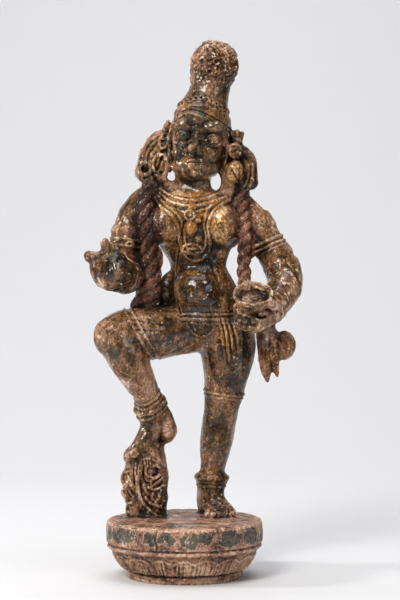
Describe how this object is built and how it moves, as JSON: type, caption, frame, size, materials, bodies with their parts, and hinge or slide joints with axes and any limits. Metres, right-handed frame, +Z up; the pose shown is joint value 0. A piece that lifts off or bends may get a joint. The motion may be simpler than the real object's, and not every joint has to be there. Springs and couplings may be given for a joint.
{
  "type": "dancing demon figure",
  "caption": "Carved and painted wood figure dancing on a round lotus plinth, its raised foot on a leaf support and a small bowl in its hand.",
  "frame": {"origin": "centre of the plinth's flat underside", "axes": "+Z up along the plinth's axis, the figure faces -Y, +X towards the hand that holds the bowl"},
  "size_m": [0.2362, 0.171, 0.593],
  "materials": {
    "carved_wood": "worn, semi-gloss old paint, gold and cream ground over dark carved wood"
  },
  "bodies": {
    "root": {"dancing_figure": "carved_wood"}
  },
  "joints": []
}
